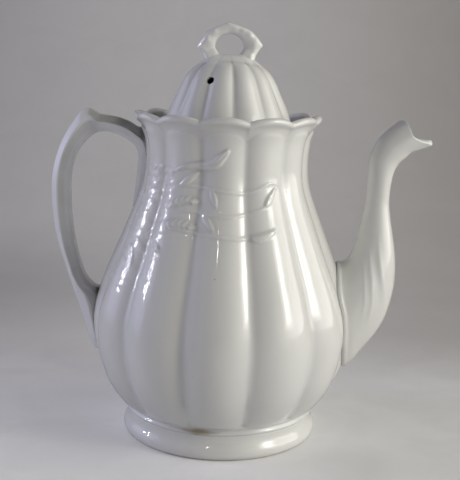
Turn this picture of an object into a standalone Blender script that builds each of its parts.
"""A lobed ceramic coffee pot: pear body with twelve lobes, swan-neck spout, strap handle and a
domed lid with a twig-ring finial. The pot and the lid are the two pieces that come apart, and
each is made of the separately formed pieces a potter lutes together.

Metres, +Z up, the spout points along +X and the foot stands on z = 0. X = 0 is halfway between
the back of the handle and the tip of the spout, so the pot's own axis stands at x = AXIS_X.
"""

import math

import bpy

# Every size below is in mm, and every x and radius is measured from the pot's own axis.
MM = 0.001
GAP = 0.3  # left between neighbouring pieces, where the slip joint would be

LOBES = 12  # lobes round the body, with one under the spout and one under the handle
LOBE_POWER = 1.85  # 2 makes each lobe a shallow arc that meets its neighbour in a crease
BODY_SEGS = 6 * LOBES
LID_SEGS = 5 * LOBES
ROUND_SEGS = 48  # the plain round pieces

# ---- foot ring: height, radius; its top is one gap below the body
FOOT_OUTER = [(0.0, 58.5), (1.2, 59.8), (3.5, 60.7), (6.5, 61.0), (9.0, 60.6), (11.5, 59.6),
              (13.5, 58.7), (15.2, 58.3)]
FOOT_INNER = [(15.2, 52.5), (9.0, 51.2), (3.0, 50.6), (0.0, 50.4)]

# ---- body: height, radius of a lobe's crest; up the outside, over the rim, down the inside
BODY_OUTER = [(15.5, 58.8), (16.7, 59.0), (18.2, 58.4), (19.6, 59.9), (22.0, 63.0), (28.0, 67.8),
              (34.0, 72.3), (40.0, 75.3), (46.0, 77.4), (52.0, 79.0), (60.0, 80.6), (70.0, 81.3),
              (80.0, 80.3), (90.0, 77.5), (100.0, 74.0), (112.0, 69.1), (124.0, 64.1),
              (136.0, 59.2), (148.0, 54.3), (157.0, 51.5), (168.0, 50.1), (178.0, 50.4),
              (186.0, 51.6), (192.0, 53.8), (195.8, 55.9), (196.9, 57.2)]
RIM = [(198.6, 57.6), (199.9, 57.1), (200.5, 56.0), (200.0, 54.6), (198.6, 53.4)]
BODY_INNER = [(195.0, 50.7), (189.0, 47.6), (180.0, 45.4), (168.0, 44.8), (156.0, 46.3),
              (140.0, 51.5), (118.0, 60.2), (96.0, 69.1), (80.0, 73.7), (66.0, 74.6), (50.0, 72.1),
              (36.0, 66.3), (25.5, 58.4), (20.3, 54.3), (15.5, 54.3)]
# height, depth of the crease between two lobes
CREASE = [(19.0, 0.0), (20.5, 1.4), (22.0, 3.0), (30.0, 3.5), (46.0, 3.9), (70.0, 4.0),
          (100.0, 3.6), (124.0, 3.2), (150.0, 2.6), (180.0, 2.4), (192.0, 2.1), (199.0, 1.9)]
INNER_CREASE = [(188.0, 0.0), (195.5, 0.9), (199.0, 1.6)]
RIM_CREASE = CREASE[-1][1]
SCALLOP_DROP = 2.5  # how far the rim dips between two lobes
SCALLOP_HEIGHTS = (184.0, 199.0)  # where the dip begins and where it is full

FLOOR_RADIUS = BODY_INNER[-1][1] - GAP
FLOOR_BOTTOM = BODY_OUTER[0][0]
FLOOR_TOP = 20.0

# ---- lid seat: a gallery ledge luted inside the neck
SEAT_BOTTOM, SEAT_TOP, SEAT_BORE = 186.0, 190.0, 37.6

# ---- strainer: a cluster of holes through the wall behind the spout
STRAINER_HOLE_RADIUS = 2.5
STRAINER_PITCH = 8.0
STRAINER_HEIGHT = 82.0
STRAINER_ROWS = [(-1, 2), (0, 3), (1, 2)]  # row, number of holes in it
STRAINER_CUT = (62.0, 92.0)  # x where the cutters start and end
STRAINER_SIDES = 14

# ---- spout: upper edge (x, z), lower edge (x, z) and half width of each section
SPOUT = [((60.0, 103.0), (60.0, 47.0), 20.0), ((68.0, 108.5), (71.0, 43.0), 20.6),
         ((74.6, 111.0), (80.8, 45.0), 20.4), ((77.6, 113.4), (89.0, 54.8), 19.6),
         ((78.9, 115.7), (97.1, 65.5), 18.4), ((80.0, 118.1), (102.5, 76.1), 16.9),
         ((81.0, 120.9), (105.8, 88.1), 15.3), ((81.9, 123.8), (107.3, 99.3), 13.8),
         ((82.6, 127.0), (107.2, 110.3), 12.4), ((83.3, 130.5), (105.9, 121.2), 11.1),
         ((83.9, 134.6), (104.1, 130.9), 9.9), ((84.5, 139.6), (102.4, 139.8), 8.9),
         ((85.9, 147.8), (101.3, 148.2), 8.1), ((86.8, 157.6), (101.5, 157.2), 7.7),
         ((87.0, 166.6), (102.8, 166.0), 7.9), ((86.9, 173.8), (105.6, 172.6), 8.4),
         ((87.8, 178.4), (110.0, 176.8), 8.9), ((89.4, 181.8), (113.4, 180.0), 9.3)]
# the mouth's outer edge from the pouring lip, along the +Y side and up to the horn at the back,
# then its inner edge: x, y, z
MOUTH = [(124.6, 0.0, 184.3), (124.2, 2.3, 184.7), (121.0, 4.5, 185.8), (117.0, 6.2, 187.0),
         (113.9, 7.4, 188.4), (111.9, 8.0, 190.2), (110.7, 7.8, 192.8), (109.5, 6.8, 195.6),
         (108.2, 5.0, 197.9), (107.0, 2.6, 199.1), (106.2, 0.0, 199.5)]
MOUTH_INNER = [(123.9, 0.0, 187.7), (122.8, 1.3, 187.8), (119.3, 2.6, 188.0), (115.6, 3.9, 188.5),
               (112.6, 5.0, 189.4), (110.6, 5.6, 191.0), (109.4, 5.4, 193.2), (108.2, 4.5, 195.6),
               (106.7, 3.1, 197.6), (105.3, 1.6, 198.6), (104.4, 0.0, 198.9)]
SPOUT_SIDES = 2 * (len(MOUTH) - 1)
SPOUT_WALL_ROOT, SPOUT_WALL_MOUTH = 3.6, 2.4
SPOUT_THINNING = (2, 12)  # sections over which the wall thins
NOSE_TAPER = 0.28  # share of the width lost at the lower edge near the mouth
NOSE_TAPERING = (13, 17)  # sections over which that taper grows
MOUTH_STEPS = 3
HORN_SWELL = 3.2  # how far the back of the mouth bows outward below the horn

# ---- handle: inner edge (x, z), outer edge (x, z) and half width of each section, from the tip
# of the upper terminal on the neck, over the thumb spur and down to the tip of the lower one
HANDLE = [((-57.9, 143.0), (-51.0, 145.0), 2.6), ((-56.4, 149.0), (-48.0, 151.0), 3.8),
          ((-55.2, 157.0), (-45.0, 159.0), 4.9), ((-54.7, 166.0), (-43.5, 170.0), 5.9),
          ((-54.2, 172.5), (-43.5, 181.0), 6.6), ((-55.6, 177.6), (-47.5, 187.0), 7.0),
          ((-59.0, 180.9), (-55.0, 190.2), 7.2), ((-63.2, 183.6), (-60.6, 193.5), 7.3),
          ((-68.4, 185.6), (-67.0, 195.7), 7.4), ((-73.2, 186.8), (-73.4, 196.6), 7.4),
          ((-77.4, 186.6), (-78.2, 197.3), 7.4), ((-80.4, 185.6), (-82.2, 199.4), 7.1),
          ((-82.9, 184.1), (-86.0, 200.5), 6.6), ((-85.4, 182.0), (-90.0, 198.6), 6.7),
          ((-88.0, 179.4), (-94.0, 193.4), 7.2), ((-90.6, 176.0), (-98.6, 186.2), 7.5),
          ((-93.0, 171.6), (-102.8, 177.8), 7.6), ((-95.2, 165.2), (-106.0, 168.0), 7.6),
          ((-96.4, 156.0), (-107.9, 157.4), 7.6), ((-96.4, 146.0), (-108.1, 146.2), 7.6),
          ((-95.8, 135.6), (-107.3, 135.2), 7.6), ((-94.6, 124.6), (-105.7, 124.0), 7.6),
          ((-92.6, 113.6), (-103.0, 113.0), 7.6), ((-90.0, 104.0), (-99.9, 103.6), 7.7),
          ((-87.2, 96.6), (-97.6, 96.4), 7.8), ((-82.6, 90.8), (-95.2, 89.8), 7.9),
          ((-75.0, 86.0), (-93.2, 83.6), 7.8), ((-72.0, 78.0), (-90.9, 77.0), 7.4),
          ((-72.0, 70.0), (-88.6, 70.0), 6.8), ((-72.0, 62.0), (-86.0, 62.0), 6.0),
          ((-72.0, 55.0), (-83.6, 54.6), 4.9), ((-72.0, 51.0), (-81.9, 50.6), 3.8)]
# the strap's section, from inner edge (-1) to outer edge (+1), and out to its half width (1)
STRAP = [(1.0, 0.0), (0.97, 0.34), (0.25, 1.0), (-0.58, 0.88), (-1.0, 0.52), (-1.0, 0.0)]

HANDLE_BACK = min(outer[0] for _, outer, _ in HANDLE)
AXIS_X = -(MOUTH[0][0] + HANDLE_BACK) / 2  # where the pot's axis stands in the part's frame

# ---- lid: one of its lobes faces LID_TURN degrees, a quarter lobe round from the body's
LID_TURN = -90.0 - 360.0 / LOBES / 4
LID_ORIGIN_Z = SEAT_TOP

# ---- lid dome: height, crest radius; up the outside, then down the inside
DOME_OUTER = [(190.3, 40.1), (194.0, 39.1), (198.0, 37.9), (202.0, 36.4), (206.0, 34.7),
              (210.0, 32.9), (214.5, 30.8), (219.0, 28.6), (223.0, 26.2), (226.2, 23.3),
              (228.8, 19.9), (230.5, 16.2), (231.3, 12.4)]
DOME_INNER = [(227.6, 12.0), (225.6, 17.8), (221.0, 23.4), (214.5, 27.2), (206.0, 31.2),
              (198.0, 34.3), (190.3, 35.6)]
# height, depth of the crease between two lobes
DOME_CREASE = [(190.3, 0.5), (196.0, 1.1), (204.0, 1.5), (218.0, 1.6), (228.0, 1.4), (231.3, 0.6)]
DOME_CREASE_POWER = 1.6

# ---- vent: a hole in one of the dome's creases
VENT_RADIUS = 2.0
VENT_AZIMUTH = LID_TURN - 180.0 / LOBES
VENT_HEIGHT = 220.0
VENT_LEAN = (0.86, 0.51)  # the drill's direction: outward, upward
VENT_REACH = (-9.0, 5.0)  # how far the drill goes in and out from the surface
VENT_SIDES = 16

# ---- lid collar, which drops inside the seat
COLLAR_TOP, COLLAR_BOTTOM = SEAT_TOP, 178.5
COLLAR_CLEARANCE = 0.7
COLLAR_OUTER, COLLAR_INNER = SEAT_BORE - COLLAR_CLEARANCE, 33.2
COLLAR_CHAMFER_WIDTH, COLLAR_CHAMFER_HEIGHT = 0.9, 1.2
COLLAR_FLARE = 0.4  # how much wider the bore is at the bottom

# ---- finial: a bent twig lying in the X-Z plane: outer edge, inner edge and half depth
FINIAL = [((19.8, 241.0), (8.1, 240.6), 3.6), ((17.0, 245.0), (7.0, 243.3), 4.6),
          ((12.7, 249.5), (4.9, 245.6), 4.8), ((6.8, 251.9), (2.4, 246.9), 4.7),
          ((-1.2, 254.0), (-0.4, 247.3), 4.8), ((-8.8, 251.5), (-4.4, 246.4), 4.8),
          ((-13.9, 248.5), (-7.0, 244.7), 4.7), ((-16.3, 245.2), (-8.2, 242.8), 4.5),
          ((-18.7, 242.0), (-8.7, 240.6), 4.0), ((-20.1, 238.9), (-8.6, 239.2), 3.6),
          ((-16.6, 235.8), (-7.7, 237.6), 4.6), ((-14.6, 231.8), (-6.3, 235.5), 6.0),
          ((-8.0, 231.6), (-4.2, 235.1), 7.4), ((-0.2, 231.6), (-0.2, 235.1), 7.9),
          ((8.0, 231.6), (4.0, 235.2), 7.4), ((14.6, 231.8), (6.0, 235.7), 6.0),
          ((15.9, 235.2), (7.3, 237.3), 4.6), ((17.9, 238.4), (7.9, 238.9), 3.8)]
FINIAL_SIDES = 10
FINIAL_SQUARE = 0.7  # 1 is round, less is squarer

# ---- glaze of each piece: base colour, roughness
GLAZES = {
    "body_wall": ((0.83, 0.83, 0.81), 0.12),
    "foot_ring": ((0.80, 0.79, 0.76), 0.2),
    "floor_disc": ((0.81, 0.80, 0.77), 0.15),
    "lid_seat_ring": ((0.82, 0.82, 0.80), 0.15),
    "spout": ((0.84, 0.84, 0.82), 0.12),
    "handle": ((0.83, 0.83, 0.82), 0.12),
    "lid_collar": ((0.82, 0.82, 0.80), 0.15),
    "lid_dome": ((0.83, 0.84, 0.82), 0.12),
    "lid_finial": ((0.84, 0.84, 0.80), 0.12),
}
GUIDE_GLAZE = ((0.5, 0.5, 0.5), 0.12)


# ---- shape helpers

def along(points, at):
    """Straight-line lookup in a list of (position, value) pairs, held at both ends."""
    points = sorted(points)
    if at <= points[0][0]:
        return points[0][1]
    for (start, low), (end, high) in zip(points, points[1:]):
        if at <= end:
            return low + (high - low) * (at - start) / (end - start)
    return points[-1][1]


def smoothstep(start, end, value):
    t = min(1.0, max(0.0, (value - start) / (end - start)))
    return t * t * (3 - 2 * t)


def crease(azimuth, power, phase=0.0):
    """0 on a lobe's crest and 1 in the crease between two lobes."""
    half = math.pi / LOBES
    offset = (azimuth - phase + half) % (2 * half) - half
    return abs(offset / half) ** power


def polar(azimuth, radius, z):
    return (radius * math.cos(azimuth), radius * math.sin(azimuth), z)


def round_point(azimuth, row):
    z, radius = row
    return polar(azimuth, radius, z)


def body_point(azimuth, row, grow=0.0):
    """A point of the lobed wall: the radius sinks into the crease and the rim dips with it."""
    z, radius, depth = row
    sink = crease(azimuth, LOBE_POWER)
    drop = SCALLOP_DROP * sink * smoothstep(*SCALLOP_HEIGHTS, z)
    return polar(azimuth, radius - depth * sink + grow, z - drop)


def dome_point(azimuth, row):
    z, radius, depth = row
    sink = crease(azimuth, DOME_CREASE_POWER, phase=math.radians(LID_TURN))
    return polar(azimuth, radius - depth * sink, z)


def with_crease(profile, depths):
    return [(z, radius, along(depths, z)) for z, radius in profile]


def section_point(edge_a, edge_b, across, y):
    """A point in the section between two (x, z) edges: across is -1 on edge_a, +1 on edge_b."""
    mid_x, mid_z = ((a + b) / 2 for a, b in zip(edge_a, edge_b))
    return (mid_x + (edge_b[0] - mid_x) * across, y, mid_z + (edge_b[1] - mid_z) * across)


# ---- skins, each given as vertices and faces

def turned(rows, segs, point, closed=True):
    """Skins rows of rings. point(azimuth, row) gives x, y, z. A row of ("pole", height) is a
    single point on the axis. closed joins the last ring to the first."""
    verts, rings, faces = [], [], []
    for row in rows:
        first = len(verts)
        if row[0] == "pole":
            verts.append((0.0, 0.0, row[1]))
        else:
            verts.extend(point(2 * math.pi * s / segs, row) for s in range(segs))
        rings.append(range(first, len(verts)))
    pairs = list(zip(rings, rings[1:]))
    if closed:
        pairs.append((rings[-1], rings[0]))
    for lower, upper in pairs:
        for s in range(segs):
            t = (s + 1) % segs
            if len(lower) == 1:
                faces.append((lower[0], upper[t], upper[s]))
            elif len(upper) == 1:
                faces.append((lower[s], lower[t], upper[0]))
            else:
                faces.append((lower[s], lower[t], upper[t], upper[s]))
    return verts, faces


def lofted(rings, loop=False):
    """Skins rings of equally many points; the ends are capped, or joined if loop is set."""
    sides, count = len(rings[0]), len(rings)
    verts = [vert for ring in rings for vert in ring]
    faces = []
    for i in range(count if loop else count - 1):
        here, there = i * sides, (i + 1) % count * sides
        for s in range(sides):
            t = (s + 1) % sides
            faces.append((here + s, here + t, there + t, there + s))
    if not loop:
        faces.append(tuple(reversed(range(sides))))
        faces.append(tuple(range((count - 1) * sides, count * sides)))
    return verts, faces


def joined(skins):
    verts, faces = [], []
    for skin_verts, skin_faces in skins:
        first = len(verts)
        verts.extend(skin_verts)
        faces.extend(tuple(first + i for i in face) for face in skin_faces)
    return verts, faces


def drill(middle, azimuth, lean, reach, radius, sides):
    """A cylinder facing azimuth; lean is how far outward and upward its axis points."""
    outward, upward = lean
    cos, sin = math.cos(azimuth), math.sin(azimuth)
    axis = (cos * outward, sin * outward, upward)
    side = (-sin, cos, 0.0)
    up = (-upward * cos, -upward * sin, outward)
    rings = []
    for distance in reach:
        ring = []
        for s in range(sides):
            angle = 2 * math.pi * s / sides
            ring.append(tuple(middle[i] + axis[i] * distance + radius * (
                side[i] * math.cos(angle) + up[i] * math.sin(angle)) for i in range(3)))
        rings.append(ring)
    return lofted(rings)


# ---- objects

def glaze(name):
    colour, roughness = GLAZES.get(name, GUIDE_GLAZE)
    material = bpy.data.materials.new(name)
    material.use_nodes = True
    shader = material.node_tree.nodes["Principled BSDF"]
    shader.inputs["Base Color"].default_value = (*colour, 1.0)
    shader.inputs["Roughness"].default_value = roughness
    return material


def face_outward(obj):
    bpy.ops.object.select_all(action="DESELECT")
    obj.select_set(True)
    bpy.context.view_layer.objects.active = obj
    bpy.ops.object.mode_set(mode="EDIT")
    bpy.ops.mesh.select_all(action="SELECT")
    bpy.ops.mesh.normals_make_consistent(inside=False)
    bpy.ops.object.mode_set(mode="OBJECT")


def make_piece(name, skin, sharp_angle=35.0, origin_z=0.0):
    """A glazed object from a skin in mm; edges bent more than sharp_angle degrees stay sharp."""
    verts, faces = skin
    mesh = bpy.data.meshes.new(name)
    mesh.from_pydata([(x * MM, y * MM, (z - origin_z) * MM) for x, y, z in verts], [], faces)
    mesh.validate()
    mesh.update()
    obj = bpy.data.objects.new(name, mesh)
    bpy.context.scene.collection.objects.link(obj)
    obj.location = (AXIS_X * MM, 0.0, origin_z * MM)
    mesh.materials.append(glaze(name))
    face_outward(obj)
    mesh.shade_smooth()
    mesh.set_sharp_from_angle(angle=math.radians(sharp_angle))
    return obj


def cut(obj, cutter, name):
    cutter.hide_render = True
    cutter.display_type = "WIRE"
    boolean = obj.modifiers.new(name, "BOOLEAN")
    boolean.operation = "DIFFERENCE"
    boolean.solver = "EXACT"
    boolean.object = cutter


# ---- the pot

def body_envelope():
    """The body's outside as a solid, one gap larger, that trims the spout and the handle."""
    rows = with_crease(BODY_OUTER + RIM[:2], CREASE)
    rows = [("pole", rows[0][0])] + rows + [("pole", rows[-1][0] + GAP)]
    skin = turned(rows, BODY_SEGS, lambda azimuth, row: body_point(azimuth, row, GAP),
                  closed=False)
    return make_piece("guide_body_envelope", skin)


def body_wall():
    rows = with_crease(BODY_OUTER, CREASE)
    rows += [(z, radius, RIM_CREASE) for z, radius in RIM]
    rows += with_crease(BODY_INNER, INNER_CREASE)
    return make_piece("body_wall", turned(rows, BODY_SEGS, body_point), sharp_angle=40.0)


def strainer_cutter():
    """Round cutters along X in staggered rows, as one guide with separate shells."""
    drills = []
    for row, count in STRAINER_ROWS:
        z = STRAINER_HEIGHT + row * STRAINER_PITCH * math.sqrt(3) / 2
        for k in range(count):
            y = (k - (count - 1) / 2) * STRAINER_PITCH
            drills.append(drill((0.0, y, z), azimuth=0.0, lean=(1.0, 0.0), reach=STRAINER_CUT,
                                radius=STRAINER_HOLE_RADIUS, sides=STRAINER_SIDES))
    return make_piece("guide_strainer", joined(drills))


def foot_ring():
    make_piece("foot_ring", turned(FOOT_OUTER + FOOT_INNER, ROUND_SEGS, round_point))


def floor_disc():
    rows = [("pole", FLOOR_BOTTOM), (FLOOR_BOTTOM, FLOOR_RADIUS), (FLOOR_TOP, FLOOR_RADIUS),
            ("pole", FLOOR_TOP)]
    make_piece("floor_disc", turned(rows, ROUND_SEGS, round_point, closed=False))


def lid_seat_ring():
    rows = [(z, along(BODY_INNER, z) - GAP) for z in (SEAT_BOTTOM, SEAT_TOP)]
    rows += [(SEAT_TOP, SEAT_BORE), (SEAT_BOTTOM, SEAT_BORE)]
    make_piece("lid_seat_ring", turned(rows, ROUND_SEGS, round_point))


def spout_ring(section, taper, wall):
    upper, lower, half_width = section
    shrink = 1 - wall / (math.dist(upper, lower) / 2)
    ring = []
    for s in range(SPOUT_SIDES):
        angle = 2 * math.pi * s / SPOUT_SIDES  # 0 on the lower edge, pi on the upper one
        across = math.cos(angle)
        y = (half_width - wall) * math.sin(angle) * (1 - taper * (1 + across) / 2)
        ring.append(section_point(upper, lower, shrink * across, y))
    return ring


def spout_skin(mouth_edge, inner):
    """Rings from the root to the mouth, for the outer skin or the inner one."""
    rings = []
    for k, section in enumerate(SPOUT):
        thinning = smoothstep(*SPOUT_THINNING, k)
        wall = SPOUT_WALL_ROOT + (SPOUT_WALL_MOUTH - SPOUT_WALL_ROOT) * thinning
        taper = NOSE_TAPER * smoothstep(*NOSE_TAPERING, k)
        rings.append(spout_ring(section, taper, wall if inner else 0.0))
    base = rings[-1]
    mouth = mouth_edge + [(x, -y, z) for x, y, z in reversed(mouth_edge[1:-1])]
    for step in range(1, MOUTH_STEPS + 1):
        t = step / MOUTH_STEPS
        ring = []
        for s, (start, end) in enumerate(zip(base, mouth)):
            x, y, z = (a + (b - a) * t for a, b in zip(start, end))
            back = (1 - math.cos(2 * math.pi * s / SPOUT_SIDES)) / 2
            bow = HORN_SWELL * 4 * t * (1 - t) * back * back
            ring.append((x - bow, y, z))
        rings.append(ring)
    return rings


def spout():
    rings = spout_skin(MOUTH, inner=False) + spout_skin(MOUTH_INNER, inner=True)[::-1]
    return make_piece("spout", lofted(rings, loop=True), sharp_angle=40.0)


def handle():
    strap = STRAP + [(across, -side) for across, side in reversed(STRAP[1:-1])]
    rings = [[section_point(inner, outer, across, half_width * side) for across, side in strap]
             for inner, outer, half_width in HANDLE]
    return make_piece("handle", lofted(rings), sharp_angle=40.0)


# ---- the lid

def lid_collar():
    rows = [(COLLAR_BOTTOM, COLLAR_INNER + COLLAR_FLARE),
            (COLLAR_BOTTOM, COLLAR_OUTER - COLLAR_CHAMFER_WIDTH),
            (COLLAR_BOTTOM + COLLAR_CHAMFER_HEIGHT, COLLAR_OUTER),
            (COLLAR_TOP, COLLAR_OUTER), (COLLAR_TOP, COLLAR_INNER)]
    make_piece("lid_collar", turned(rows, ROUND_SEGS, round_point), origin_z=LID_ORIGIN_Z)


def lid_dome():
    outer_rows = with_crease(DOME_OUTER, DOME_CREASE) + [("pole", DOME_OUTER[-1][0])]
    inner_rows = [("pole", DOME_INNER[0][0])] + [(z, radius, 0.0) for z, radius in DOME_INNER]
    verts, faces = joined(turned(rows, LID_SEGS, dome_point, closed=False)
                          for rows in (outer_rows, inner_rows))
    # the flat underside joins the inside's last ring to the outside's first
    last = len(verts) - LID_SEGS
    for s in range(LID_SEGS):
        t = (s + 1) % LID_SEGS
        faces.append((last + s, last + t, t, s))
    return make_piece("lid_dome", (verts, faces), sharp_angle=40.0, origin_z=LID_ORIGIN_Z)


def vent_cutter():
    azimuth = math.radians(VENT_AZIMUTH)
    middle = polar(azimuth, along(DOME_OUTER, VENT_HEIGHT), VENT_HEIGHT)
    return make_piece("guide_vent", drill(middle, azimuth, lean=VENT_LEAN, reach=VENT_REACH,
                                          radius=VENT_RADIUS, sides=VENT_SIDES))


def squared(value):
    """Pushes a sine or cosine outward, which squares off a round section."""
    return math.copysign(abs(value) ** FINIAL_SQUARE, value)


def lid_finial():
    angles = [2 * math.pi * s / FINIAL_SIDES for s in range(FINIAL_SIDES)]
    rings = [[section_point(inner, outer, squared(math.cos(angle)),
                            half_depth * squared(math.sin(angle))) for angle in angles]
             for outer, inner, half_depth in FINIAL]
    make_piece("lid_finial", lofted(rings, loop=True), sharp_angle=50.0, origin_z=LID_ORIGIN_Z)


for old in list(bpy.data.objects):
    bpy.data.objects.remove(old, do_unlink=True)

envelope = body_envelope()
cut(body_wall(), strainer_cutter(), "strainer")
foot_ring()
floor_disc()
lid_seat_ring()
for limb in (spout(), handle()):
    cut(limb, envelope, "meet_body")
lid_collar()
cut(lid_dome(), vent_cutter(), "vent")
lid_finial()
